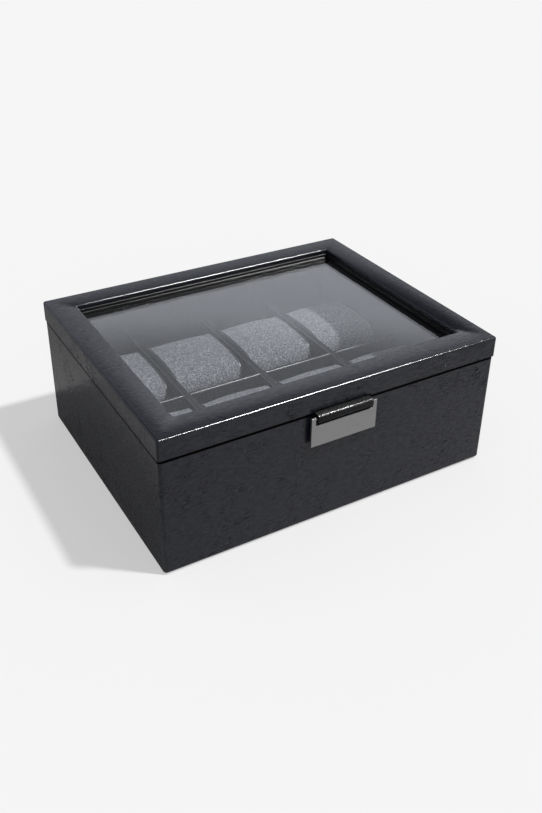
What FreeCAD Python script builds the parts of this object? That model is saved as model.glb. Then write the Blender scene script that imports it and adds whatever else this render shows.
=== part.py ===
import FreeCAD, Part
import math
import os
import Sketcher

# A watch box: a board case wrapped in leatherette, divided into cushioned compartments,
# under a hinged lid with a glass window and a slotted metal pull tab on a leather loop.
# Frame: origin under the middle of the case on the table, +Z up, the front towards -Y.

COLUMNS = 4
CUSHION_SECTIONS = 3
SIDES = {"left": -1, "right": 1}
ROWS = {"front": -1, "rear": 1}

# Driving dimensions in millimetres, and angles in degrees.
SIZES = {
    "box_width": 250,
    "box_depth": 200,
    "base_height": 84,
    "lid_gap": 1,
    "lid_height": 15,
    "lid_overhang": 0.5,
    "skin": 0.8,
    "foot": 0.6,
    "turn_under": 12,
    "pad_play": 0.4,
    "board": 5,
    "floor_board": 4,
    "lining": 0.8,
    "seat_play": 0.1,
    "corner_round": 2.5,
    "rim_round": 0.4,
    "base_round": 2,
    "lid_corner": 1.6,
    "lid_round": 1.4,
    "lid_edge": 0.5,
    "window_round": 1.2,
    "rail_width": 18.5,
    "glass_recess": 6.5,
    "glass_thick": 3,
    "glass_lap": 5,
    "glass_play": 0.3,
    "bead_width": 1.2,
    "bead_height": 3,
    "bead_round": 0.5,
    "retainer_lap": 2,
    "divider_thick": 5,
    "row_thick": 3,
    "divider_height": 48.3,
    "divider_round": 1.2,
    "slot_play": 0.1,
    "end_play": 0.2,
    "cushion_depth": 67,
    "cushion_height": 48,
    "cushion_side_play": 1.2,
    "front_setback": 8,
    "rear_setback": 5,
    "cushion_corner": 14,
    "cushion_crown": 3,
    "cushion_draw": 1.2,
    "cap_thick": 1.4,
    "cap_proud": 0.5,
    "cap_round": 0.8,
    "hinge_length": 32,
    "hinge_from_end": 50,
    "pin_out": 1.8,
    "pin_radius": 0.75,
    "pin_play": 0.05,
    "knuckle_radius": 1.6,
    "knuckle_play": 0.2,
    "leaf_thick": 2.7,
    "leaf_gap": 0.3,
    "leaf_inset": 0.4,
    "mortise_play": 0.1,
    "heel_face": 0.6,
    "open_angle": 100,
    "stop_play": 0.6,
    "screw_spread": 11,
    "screw_head_radius": 1.6,
    "screw_head_height": 1,
    "screw_radius": 0.8,
    "screw_length": 8,
    "screw_play": 0.05,
    "tab_width": 49,
    "tab_height": 21,
    "tab_thick": 2,
    "tab_bar": 2,
    "tab_slot": 3.4,
    "tab_arm": 3.2,
    "tab_round": 0.5,
    "tab_drop": 2.5,
    "tab_stand": 3,
    "strap_thick": 1,
    "strap_play": 0.7,
    "loop_radius": 1.6,
    "loop_slack": 0.5,
    "strap_sink": 0.1,
    "notch_rise": 1.3,
    "notch_play": 0.8,
}

doc = FreeCAD.newDocument("watch_box")
sheet = doc.addObject("Spreadsheet::Sheet", "Sizes")
for row, (alias, size) in enumerate(SIZES.items(), 1):
    sheet.set(f"A{row}", alias)
    sheet.set(f"B{row}", str(size))
    sheet.setAlias(f"B{row}", alias)
doc.recompute()

subparts = []

# Places worked out from the driving dimensions, as formulas of the sheet.
HALF_X = "(Sizes.box_width / 2)"
HALF_Y = "(Sizes.box_depth / 2)"
BOARD_X = f"({HALF_X} - Sizes.skin)"
BOARD_Y = f"({HALF_Y} - Sizes.skin)"
LID_X = f"({HALF_X} + Sizes.lid_overhang)"
LID_Y = f"({HALF_Y} + Sizes.lid_overhang)"
LID_BOARD_X = f"({LID_X} - Sizes.skin)"
LID_BOARD_Y = f"({LID_Y} - Sizes.skin)"
LINING_X = f"({BOARD_X} - Sizes.board)"
LINING_Y = f"({BOARD_Y} - Sizes.board)"
INNER_X = f"({LINING_X} - Sizes.lining)"
INNER_Y = f"({LINING_Y} - Sizes.lining)"
BOARD_Z = "(Sizes.foot + Sizes.skin)"
FLOOR_Z = f"({BOARD_Z} + Sizes.floor_board)"
LINED_Z = f"({FLOOR_Z} + Sizes.lining)"
RIM_Z = "Sizes.base_height"
BOARD_TOP_Z = f"({RIM_Z} - Sizes.skin)"
LID_Z = f"({RIM_Z} + Sizes.lid_gap)"
LID_TOP_Z = f"({LID_Z} + Sizes.lid_height)"
RAIL_Z = f"({LID_Z} + Sizes.lining)"
RAIL_TOP_Z = f"({LID_TOP_Z} - Sizes.skin)"
GLASS_TOP_Z = f"({LID_TOP_Z} - Sizes.glass_recess)"
GLASS_Z = f"({GLASS_TOP_Z} - Sizes.glass_thick)"
WINDOW_X = f"({HALF_X} - Sizes.rail_width)"
WINDOW_Y = f"({HALF_Y} - Sizes.rail_width)"
RAIL_X = f"({WINDOW_X} + Sizes.skin)"
RAIL_Y = f"({WINDOW_Y} + Sizes.skin)"
GLASS_X = f"({WINDOW_X} + Sizes.glass_lap)"
GLASS_Y = f"({WINDOW_Y} + Sizes.glass_lap)"
WELL_X = f"({GLASS_X} + Sizes.glass_play)"
WELL_Y = f"({GLASS_Y} + Sizes.glass_play)"
RETAINER_X = f"({WINDOW_X} - Sizes.retainer_lap)"
RETAINER_Y = f"({WINDOW_Y} - Sizes.retainer_lap)"
BEAD_X = f"({WINDOW_X} - Sizes.bead_width)"
BEAD_Y = f"({WINDOW_Y} - Sizes.bead_width)"
DIVIDER_TOP_Z = f"({LINED_Z} + Sizes.divider_height)"
CORE_ROUND = "(Sizes.corner_round - Sizes.skin)"
LID_CORE_ROUND = "(Sizes.lid_corner - Sizes.skin)"
CELL_X = f"((2 * {INNER_X} - {COLUMNS - 1} * Sizes.divider_thick) / {COLUMNS})"
CELL_PITCH = f"({CELL_X} + Sizes.divider_thick)"
ROW_Y = f"(({INNER_Y} + Sizes.row_thick / 2) / 2)"
PIN_Y = f"({HALF_Y} + Sizes.pin_out)"
PIN_Z = f"({RIM_Z} + Sizes.lid_gap / 2)"
LEAF_Y = f"({LINING_Y} + Sizes.leaf_inset)"
HINGE_X = f"({HALF_X} - Sizes.hinge_from_end)"
SCREW_Y = f"(({LEAF_Y} + {HALF_Y} - Sizes.skin) / 2)"
STRAP_TOP_Z = f"({RAIL_Z} - Sizes.strap_sink)"
LOOP_Y = f"(-{HALF_Y} - Sizes.tab_stand)"
BAR_Z = f"({LID_Z} - Sizes.tab_drop)"
STRAP_X = "(Sizes.tab_width / 2 - Sizes.tab_arm - Sizes.strap_play)"
BEYOND = "Sizes.skin * 4"


def value(formula):
    """The number that a formula of the sheet gives now."""
    return float(sheet.evalExpression(formula))


def both(limit):
    """The span from minus a limit to plus it."""
    return f"-({limit})", limit


def subpart(piece, label):
    """Names a finished piece and lists it for export."""
    piece.Label = label
    subparts.append(piece)
    return piece


def block(name, x, y, z):
    """A rectangular block between two formulas along each axis."""
    solid = doc.addObject("Part::Box", name)
    for side, axis, (low, high) in zip(("Length", "Width", "Height"), "xyz", (x, y, z)):
        solid.setExpression(side, f"({high}) - ({low})")
        solid.setExpression(f"Placement.Base.{axis}", low)
    return solid


def rod(name, x, y, z, radius):
    """A round rod along X between two formulas, about the axis through y and z."""
    solid = doc.addObject("Part::Cylinder", name)
    solid.setExpression("Radius", radius)
    solid.setExpression("Height", f"({x[1]}) - ({x[0]})")
    solid.Placement.Rotation = FreeCAD.Rotation(FreeCAD.Vector(0, 1, 0), 90)
    for axis, place in zip("xyz", (x[0], y, z)):
        solid.setExpression(f"Placement.Base.{axis}", place)
    return solid


def joined(name, pieces):
    """The pieces fused into one solid."""
    fused = doc.addObject("Part::MultiFuse", name)
    fused.Shapes = pieces
    return fused


def cut(name, base, tools):
    """A piece with each tool cut away, one after the other."""
    left = base
    for number, tool in enumerate(tools, 1):
        last = number == len(tools)
        step = doc.addObject("Part::Cut", name if last else f"{name}_step_{number}")
        step.Base = left
        step.Tool = tool
        left = step
    return left


def group(name, pieces):
    """Separate solids of one kind, kept apart in one piece."""
    compound = doc.addObject("Part::Compound", name)
    compound.Links = pieces
    return compound


def new_body(name):
    return doc.addObject("PartDesign::Body", name)


def sketch_on(body, name, plane, offset):
    """An empty sketch on one of the body's own planes, moved along the plane's normal."""
    sketch = body.newObject("Sketcher::SketchObject", name)
    origin = next(p for p in body.Origin.OriginFeatures if p.Role == plane)
    sketch.AttachmentSupport = (origin, [""])
    sketch.MapMode = "FlatFace"
    sketch.setExpression("AttachmentOffset.Base.z", offset)
    return sketch


def pin_down(sketch, kind, formula, *places):
    """Adds a dimension that follows a formula."""
    number = sketch.addConstraint(Sketcher.Constraint(kind, *places, value(formula)))
    sketch.setExpression(f"Constraints[{number}]", formula)


def polygon(body, name, plane, offset, points):
    """A closed outline of straight lines through points, each point two formulas."""
    sketch = sketch_on(body, name, plane, offset)
    corners = [FreeCAD.Vector(value(u), value(v), 0) for u, v in points]
    count = len(points)
    for i in range(count):
        sketch.addGeometry(Part.LineSegment(corners[i], corners[(i + 1) % count]), False)
    for i in range(count):
        sketch.addConstraint(Sketcher.Constraint("Coincident", i, 2, (i + 1) % count, 1))
    for i, (u, v) in enumerate(points):
        pin_down(sketch, "DistanceX", u, -1, 1, i, 1)
        pin_down(sketch, "DistanceY", v, -1, 1, i, 1)
    return sketch


def rectangle(x, y):
    return [(x[0], y[0]), (x[1], y[0]), (x[1], y[1]), (x[0], y[1])]


def pad(body, sketch, length):
    feature = body.newObject("PartDesign::Pad", sketch.Name + "_pad")
    feature.Profile = sketch
    feature.setExpression("Length", length)
    body.Tip = feature
    doc.recompute()
    return feature


def round_edges(body, wanted, radius, name):
    """Rounds the edges of the body's last feature that pass a test."""
    last = body.Tip
    edges = [f"Edge{i}" for i, edge in enumerate(last.Shape.Edges, 1) if wanted(edge)]
    feature = body.newObject("PartDesign::Fillet", name)
    feature.Base = (last, edges)
    feature.setExpression("Radius", radius)
    body.Tip = feature
    doc.recompute()
    return feature


def near(first, second):
    return abs(first - second) < 1e-4


def upright(edge):
    box = edge.BoundBox
    return near(box.XLength, 0) and near(box.YLength, 0)


def level_at(formula):
    """A test for edges that lie flat at one height."""
    height = value(formula)
    return lambda edge: near(edge.BoundBox.ZMin, height) and near(edge.BoundBox.ZMax, height)


def slab(name, x, y, z, corner=None):
    """A padded rectangle, with its upright corners rounded if a radius is given."""
    body = new_body(name)
    outline = polygon(body, name + "_outline", "XY_Plane", z[0], rectangle(x, y))
    pad(body, outline, f"({z[1]}) - ({z[0]})")
    if corner:
        round_edges(body, upright, corner, name + "_corners")
    return body


# Hinge seats, cut into whatever the two hinges are let into.
def hinge_seats(name, z):
    """One clearance block round each hinge leaf, open at the back."""
    seats = []
    for side, sign in SIDES.items():
        middle = f"({sign} * {HINGE_X})"
        reach = "(Sizes.hinge_length / 2 + Sizes.mortise_play)"
        x = (f"{middle} - {reach}", f"{middle} + {reach}")
        y = (f"{LEAF_Y} - Sizes.mortise_play", f"{HALF_Y} + {BEYOND}")
        seats.append(block(f"{name}_{side}", x, y, z))
    return seats


def screw_bores(name, low, high):
    """Pilot holes for the two screws of each hinge leaf."""
    bores = []
    for side, sign in SIDES.items():
        for mark, step in SIDES.items():
            bore = doc.addObject("Part::Cylinder", f"{name}_{side}_{mark}")
            bore.setExpression("Radius", "Sizes.screw_radius + Sizes.screw_play")
            bore.setExpression("Height", f"({high}) - ({low})")
            x = f"{sign} * {HINGE_X} + {step} * Sizes.screw_spread"
            for axis, place in zip("xyz", (x, SCREW_Y, low)):
                bore.setExpression(f"Placement.Base.{axis}", place)
            bores.append(bore)
    return bores


LEAF_BASE_Z = f"({PIN_Z} - Sizes.leaf_gap - Sizes.leaf_thick)"
LEAF_LID_Z = f"({PIN_Z} + Sizes.leaf_gap + Sizes.leaf_thick)"
SCREW_DOWN_Z = f"({PIN_Z} - Sizes.leaf_gap - Sizes.screw_length - Sizes.screw_play)"
SCREW_UP_Z = f"({PIN_Z} + Sizes.leaf_gap + Sizes.screw_length + Sizes.screw_play)"


def make_case():
    """The wrapped board box that stands on the table."""
    shell = slab("case_skin", both(HALF_X), both(HALF_Y), ("Sizes.foot", RIM_Z), "Sizes.corner_round")
    round_edges(shell, level_at(RIM_Z), "Sizes.rim_round", "case_skin_rim")
    round_edges(shell, level_at("Sizes.foot"), "Sizes.base_round", "case_skin_foot")
    hollow = slab("case_hollow", both(BOARD_X), both(BOARD_Y), (BOARD_Z, BOARD_TOP_Z), CORE_ROUND)
    mouth = block("case_mouth", both(LINING_X), both(LINING_Y), (FLOOR_Z, f"{RIM_Z} + {BEYOND}"))
    under_x = f"({HALF_X} - Sizes.turn_under)"
    under_y = f"({HALF_Y} - Sizes.turn_under)"
    under = block("case_under", both(under_x), both(under_y), (f"-({BEYOND})", FLOOR_Z))
    seats = hinge_seats("wrap_seat", (LEAF_BASE_Z, f"{RIM_Z} + {BEYOND}"))
    subpart(cut("base_wrap", shell, [hollow, mouth, under, *seats]), "base_wrap")

    upright_z = (BOARD_Z, BOARD_TOP_Z)
    front = slab("front_panel", both(BOARD_X), (f"-{BOARD_Y}", f"-{LINING_Y}"), upright_z)
    round_edges(front, outer_corner(-1), CORE_ROUND, "front_panel_corners")
    subpart(front, "front_panel")
    rear = slab("rear_board", both(BOARD_X), (LINING_Y, BOARD_Y), upright_z)
    round_edges(rear, outer_corner(1), CORE_ROUND, "rear_board_corners")
    seats = hinge_seats("rear_seat", (LEAF_BASE_Z, f"{RIM_Z} + {BEYOND}"))
    bores = screw_bores("rear_bore", SCREW_DOWN_Z, BOARD_TOP_Z)
    subpart(cut("rear_panel", rear, [*seats, *bores]), "rear_panel")
    for side, sign in SIDES.items():
        low, high = sorted((f"{sign} * {LINING_X}", f"{sign} * {BOARD_X}"), key=value)
        subpart(block(f"{side}_panel", (low, high), both(LINING_Y), upright_z), f"{side}_panel")
    floor = block("bottom_panel", both(LINING_X), both(LINING_Y), (BOARD_Z, FLOOR_Z))
    subpart(floor, "bottom_panel")
    pad_x = f"({under_x} - Sizes.pad_play)"
    pad_y = f"({under_y} - Sizes.pad_play)"
    subpart(slab("base_pad", both(pad_x), both(pad_y), ("0", BOARD_Z), "Sizes.corner_round"), "base_pad")


def outer_corner(sign):
    """A test for a long board's two upright edges at the outside of the case."""
    depth = sign * value(BOARD_Y)
    return lambda edge: upright(edge) and near(edge.BoundBox.YMin, depth)


def make_linings():
    """Fabric-covered cards on the floor and the walls; the walls' cards carry the closed lid."""
    floor = block("floor_lining", both(LINING_X), both(LINING_Y), (FLOOR_Z, LINED_Z))
    subpart(floor, "floor_lining")
    wall_z = (LINED_Z, f"{LID_Z} - Sizes.seat_play")
    for row, sign in ROWS.items():
        y = sorted((f"{sign} * {INNER_Y}", f"{sign} * {LINING_Y}"), key=value)
        subpart(block(f"{row}_lining", both(LINING_X), y, wall_z), f"{row}_lining")
    for side, sign in SIDES.items():
        x = sorted((f"{sign} * {INNER_X}", f"{sign} * {LINING_X}"), key=value)
        subpart(block(f"{side}_lining", x, both(INNER_Y), wall_z), f"{side}_lining")


def make_dividers():
    """One long board between the two rows, and cross boards that drop over it on half-lap slots."""
    half = "Sizes.divider_thick / 2"
    row_half = "Sizes.row_thick / 2"
    slot = f"({half} + Sizes.slot_play)"
    row_slot = f"({row_half} + Sizes.slot_play)"
    middle_z = f"({LINED_Z} + Sizes.divider_height / 2)"
    board_z = (LINED_Z, DIVIDER_TOP_Z)
    long_x = both(f"({INNER_X} - Sizes.end_play)")
    row_board = slab("row_board", long_x, both(row_half), board_z)
    round_edges(row_board, level_at(DIVIDER_TOP_Z), "Sizes.divider_round", "row_board_top")
    slots = []
    for number in range(1, COLUMNS):
        place = f"(-{INNER_X} + {number} * {CELL_PITCH} - {half})"
        span = (f"{place} - {slot}", f"{place} + {slot}")
        top_slot = (f"{middle_z} - Sizes.slot_play", f"{DIVIDER_TOP_Z} + {BEYOND}")
        slots.append(block(f"row_slot_{number}", span, both(f"{row_half} + {BEYOND}"), top_slot))

        name = f"cross_divider_{number}"
        across = both(f"({INNER_Y} - Sizes.end_play)")
        board = slab(f"cross_board_{number}", (f"{place} - {half}", f"{place} + {half}"), across, board_z)
        round_edges(board, level_at(DIVIDER_TOP_Z), "Sizes.divider_round", f"cross_board_{number}_top")
        low_slot = (f"{LINED_Z} - {BEYOND}", middle_z)
        wide = (f"{place} - {half} - {BEYOND}", f"{place} + {half} + {BEYOND}")
        subpart(cut(name, board, [block(f"cross_slot_{number}", wide, both(row_slot), low_slot)]), name)
    subpart(cut("row_divider", row_board, slots), "row_divider")


def pillow_section(body, name, offset, draw):
    """The cushion's outline across its length: flat below, round shoulders, a gentle crown.
    The sides and the crown are drawn in by a formula, and the flat base stays where it rests."""
    half = f"(Sizes.cushion_depth / 2 - {draw})"
    top = f"(Sizes.cushion_height - {draw})"
    corner = "Sizes.cushion_corner"
    crown = f"(({half} * {half} + Sizes.cushion_crown ^ 2) / (2 * Sizes.cushion_crown))"
    a, t, c, r = value(half), value(top), value(corner), value(crown)
    shoulder = t - r + math.sqrt((r - c) ** 2 - (a - c) ** 2)
    turn = math.atan2(shoulder - (t - r), a - c)
    sketch = sketch_on(body, name, "YZ_Plane", offset)

    def line(u0, v0, u1, v1):
        sketch.addGeometry(Part.LineSegment(FreeCAD.Vector(u0, v0, 0), FreeCAD.Vector(u1, v1, 0)), False)

    def arc(u, v, radius, start, end):
        circle = Part.Circle(FreeCAD.Vector(u, v, 0), FreeCAD.Vector(0, 0, 1), radius)
        sketch.addGeometry(Part.ArcOfCircle(circle, start, end), False)

    line(c - a, 0, a - c, 0)
    arc(a - c, c, c, 1.5 * math.pi, 2 * math.pi)
    line(a, c, a, shoulder)
    arc(a - c, shoulder, c, 0, turn)
    arc(0, t - r, r, turn, math.pi - turn)
    arc(c - a, shoulder, c, math.pi - turn, math.pi)
    line(-a, shoulder, -a, c)
    arc(c - a, c, c, math.pi, 1.5 * math.pi)
    for number in range(8):
        sketch.addConstraint(Sketcher.Constraint("Tangent", number, 2, (number + 1) % 8, 1))
    sketch.addConstraint(Sketcher.Constraint("Horizontal", 0))
    sketch.addConstraint(Sketcher.Constraint("PointOnObject", 0, 1, -1))
    for side in (2, 6):
        sketch.addConstraint(Sketcher.Constraint("Vertical", side))
    for other in (3, 5, 7):
        sketch.addConstraint(Sketcher.Constraint("Equal", 1, other))
    sketch.addConstraint(Sketcher.Constraint("PointOnObject", 4, 3, -2))
    pin_down(sketch, "DistanceX", half, -1, 1, 2, 1)
    pin_down(sketch, "DistanceX", f"-{half}", -1, 1, 6, 1)
    pin_down(sketch, "Radius", corner, 1)
    pin_down(sketch, "Radius", crown, 4)
    pin_down(sketch, "DistanceY", f"{top} - {crown}", -1, 1, 4, 3)
    return sketch


def make_cushion(row, column):
    """One lift-out cushion: a crowned fabric pad between two stiff end caps, loose in its
    compartment and set back towards the hinges."""
    name = f"{row}_{column + 1}"
    reach = f"({CELL_X} / 2 - Sizes.cushion_side_play)"
    pad_reach = f"({reach} - Sizes.cap_thick)"
    centre_x = f"-{INNER_X} + {CELL_X} / 2 + {column} * {CELL_PITCH}"
    centre_y = f"{ROWS[row]} * {ROW_Y} + Sizes.{row}_setback"
    centre = (centre_x, centre_y, LINED_Z)

    def seat(body):
        for axis, place in zip("xyz", centre):
            body.setExpression(f"Placement.Base.{axis}", place)

    body = new_body(f"pad_{name}")
    last = CUSHION_SECTIONS - 1
    sections = []
    for number in range(CUSHION_SECTIONS):
        along = f"({2 * number / last - 1}) * {pad_reach}"
        swell = 1 - abs(2 * number / last - 1)
        draw = f"(Sizes.cushion_draw * {1 - swell})"
        sections.append(pillow_section(body, f"pad_{name}_section_{number}", along, draw))
    loft = body.newObject("PartDesign::AdditiveLoft", f"pad_{name}_loft")
    loft.Profile = sections[0]
    loft.Sections = sections[1:]
    body.Tip = loft
    seat(body)
    subpart(body, f"cushion_pad_{name}")

    caps = []
    for side, way in SIDES.items():
        cap = new_body(f"cap_{name}_{side}")
        start = f"-{reach}" if way < 0 else pad_reach
        draw = "(Sizes.cushion_draw - Sizes.cap_proud)"
        outline = pillow_section(cap, f"cap_{name}_{side}_outline", start, draw)
        pad(cap, outline, "Sizes.cap_thick")
        outside = way * value(reach)
        at_end = lambda edge: near(edge.BoundBox.XMin, outside) and near(edge.BoundBox.XMax, outside)
        round_edges(cap, at_end, "Sizes.cap_round", f"cap_{name}_{side}_rim")
        seat(cap)
        caps.append(cap)
    subpart(group(f"ends_{name}", caps), f"cushion_ends_{name}")


def make_cushions():
    for row in ROWS:
        for column in range(COLUMNS):
            make_cushion(row, column)


def mitred_strips(name, outer_x, outer_y, inner_x, inner_y, z):
    """Four strips round a rectangle, mitred at its corners, in the order front, right, rear, left."""
    outer = rectangle(both(outer_x), both(outer_y))
    inner = rectangle(both(inner_x), both(inner_y))
    strips = {}
    for number, side in enumerate(("front", "right", "rear", "left")):
        following = (number + 1) % 4
        corners = [outer[number], outer[following], inner[following], inner[number]]
        body = new_body(f"{name}_{side}")
        outline = polygon(body, f"{name}_{side}_outline", "XY_Plane", z[0], corners)
        pad(body, outline, f"({z[1]}) - ({z[0]})")
        strips[side] = body
    return strips


def strap_notch(name, y, z):
    """Room for the pull strap's tail."""
    reach = f"({STRAP_X} + Sizes.notch_play)"
    return block(name, both(reach), y, z)


def make_lid():
    """The glazed frame: wrapped mitred rails, glass held between beads above and strips below.
    It stands out past the case at the front and the sides, and is flush with it at the hinges."""
    lid_z = (LID_Z, LID_TOP_Z)
    below = f"{LID_Z} - {BEYOND}"
    above = f"{LID_TOP_Z} + {BEYOND}"
    board_y = (f"-{LID_BOARD_Y}", BOARD_Y)
    shell = slab("lid_skin", both(LID_X), (f"-{LID_Y}", HALF_Y), lid_z, "Sizes.lid_corner")
    round_edges(shell, level_at(LID_TOP_Z), "Sizes.lid_round", "lid_skin_top")
    round_edges(shell, level_at(LID_Z), "Sizes.lid_edge", "lid_skin_foot")
    window = slab("lid_window", both(WINDOW_X), both(WINDOW_Y), (below, above))
    framed = cut("lid_framed", shell, [window])
    doc.recompute()
    rim = doc.addObject("Part::Fillet", "lid_rounded")
    rim.Base = framed
    radius = value("Sizes.window_round")
    rim.Edges = [(i, radius, radius) for i in window_edges(framed.Shape)]
    core = slab("lid_core", both(LID_BOARD_X), board_y, (below, RAIL_TOP_Z), LID_CORE_ROUND)
    bare = block("lid_bare", both(RAIL_X), both(RAIL_Y), (f"{below} - {BEYOND}", above))
    channel = cut("lid_channel", core, [bare])
    well = block("lid_well", both(WELL_X), both(WELL_Y), (f"{below} - {BEYOND}", GLASS_TOP_Z))
    seats = hinge_seats("lid_wrap_seat", (below, LEAF_LID_Z))
    notch_y = (f"-{LID_Y} - {BEYOND}", f"-{BOARD_Y} + {BEYOND}")
    notch = strap_notch("lid_wrap_notch", notch_y, (below, f"{STRAP_TOP_Z} + Sizes.notch_rise"))
    subpart(cut("lid_wrap", rim, [channel, well, *seats, notch]), "lid_wrap")

    rail_z = (RAIL_Z, RAIL_TOP_Z)
    rails = mitred_strips("rail", LID_BOARD_X, LID_BOARD_Y, RAIL_X, RAIL_Y, rail_z)
    for side, rail in rails.items():
        fitted = doc.addObject("Part::Common", f"rail_{side}_fitted")
        fitted.Base = rail
        fitted.Tool = core
        tools = [well]
        if side == "rear":
            tools += hinge_seats("lid_rail_seat", (below, LEAF_LID_Z))
            tools += screw_bores("lid_rail_bore", LID_Z, SCREW_UP_Z)
        subpart(cut(f"lid_{side}_rail", fitted, tools), f"lid_{side}_rail")

    pane = slab("glass_pane", both(GLASS_X), both(GLASS_Y), (GLASS_Z, GLASS_TOP_Z))
    subpart(pane, "glass_pane")
    bead_top = f"({GLASS_TOP_Z} + Sizes.bead_height)"
    beads = mitred_strips("bead", WINDOW_X, WINDOW_Y, BEAD_X, BEAD_Y, (GLASS_TOP_Z, bead_top))
    for side, bead in beads.items():
        round_edges(bead, inner_top(bead_top), "Sizes.bead_round", f"bead_{side}_edge")
    subpart(group("glazing_beads", list(beads.values())), "glazing_beads")
    strips = mitred_strips("strip", GLASS_X, GLASS_Y, RETAINER_X, RETAINER_Y, (RAIL_Z, GLASS_Z))
    subpart(group("retainer_strips", list(strips.values())), "retainer_strips")

    sheet_z = (LID_Z, RAIL_Z)
    cloth = slab("lid_cloth", both(LID_BOARD_X), board_y, sheet_z, LID_CORE_ROUND)
    hole = block("lid_cloth_hole", both(RETAINER_X), both(RETAINER_Y), (below, above))
    seats = hinge_seats("lid_cloth_seat", (below, LEAF_LID_Z))
    tail_y = (f"-{LID_Y}", f"-{LINING_Y}")
    notch = strap_notch("lid_cloth_notch", tail_y, (below, above))
    subpart(cut("lid_lining", cloth, [hole, *seats, notch]), "lid_lining")


def window_edges(shape):
    """The numbers of the four top edges round the window."""
    height = value(LID_TOP_Z)
    half_x = value(WINDOW_X)
    half_y = value(WINDOW_Y)
    found = []
    for number, edge in enumerate(shape.Edges, 1):
        box = edge.BoundBox
        flat = near(box.ZMin, height) and near(box.ZMax, height)
        along_x = near(abs(box.YMin), half_y) and near(box.YLength, 0)
        along_y = near(abs(box.XMin), half_x) and near(box.XLength, 0)
        if flat and (along_x or along_y):
            found.append(number)
    return found


def inner_top(formula):
    """A test for the shorter, inner one of a mitred strip's two long edges at one height."""
    height = value(formula)
    inside_x = value(BEAD_X)
    inside_y = value(BEAD_Y)

    def wanted(edge):
        box = edge.BoundBox
        flat = near(box.ZMin, height) and near(box.ZMax, height)
        along_x = near(abs(box.YMin), inside_y) and near(box.YLength, 0)
        along_y = near(abs(box.XMin), inside_x) and near(box.XLength, 0)
        return flat and (along_x or along_y)

    return wanted


def screw(name, x, way):
    """A countersunk wood screw, pointing down for way -1 and up for way 1."""
    face = f"({PIN_Z} + {way} * Sizes.leaf_gap)"
    body = new_body(name)
    head = f"{way} * Sizes.screw_head_height"
    tip = f"{way} * Sizes.screw_length"
    taper = f"{way} * (Sizes.screw_length - Sizes.screw_radius * 2)"
    outline = [
        ("0", "0"),
        ("Sizes.screw_head_radius", "0"),
        ("Sizes.screw_radius", head),
        ("Sizes.screw_radius", taper),
        ("0", tip),
    ]
    profile = polygon(body, name + "_profile", "XZ_Plane", "0", outline)
    turned = body.newObject("PartDesign::Revolution", name + "_turned")
    turned.Profile = profile
    turned.ReferenceAxis = (profile, ["V_Axis"])
    turned.Angle = 360
    body.Tip = turned
    for axis, place in zip("xyz", (x, SCREW_Y, face)):
        body.setExpression(f"Placement.Base.{axis}", place)
    return body


def screw_seat(name, x, way):
    """The countersunk hole that a screw passes through in its leaf."""
    face = f"({PIN_Z} + {way} * Sizes.leaf_gap)"
    cone = doc.addObject("Part::Cone", name + "_cone")
    cone.setExpression("Radius1", "Sizes.screw_head_radius + Sizes.screw_play")
    cone.setExpression("Radius2", "Sizes.screw_radius + Sizes.screw_play")
    cone.setExpression("Height", "Sizes.screw_head_height")
    shank = doc.addObject("Part::Cylinder", name + "_shank")
    shank.setExpression("Radius", "Sizes.screw_radius + Sizes.screw_play")
    shank.setExpression("Height", "Sizes.leaf_thick * 2")
    for piece in (cone, shank):
        if way < 0:
            piece.Placement.Rotation = FreeCAD.Rotation(FreeCAD.Vector(1, 0, 0), 180)
        for axis, place in zip("xyz", (x, SCREW_Y, face)):
            piece.setExpression(f"Placement.Base.{axis}", place)
    return joined(name, [cone, shank])


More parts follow.
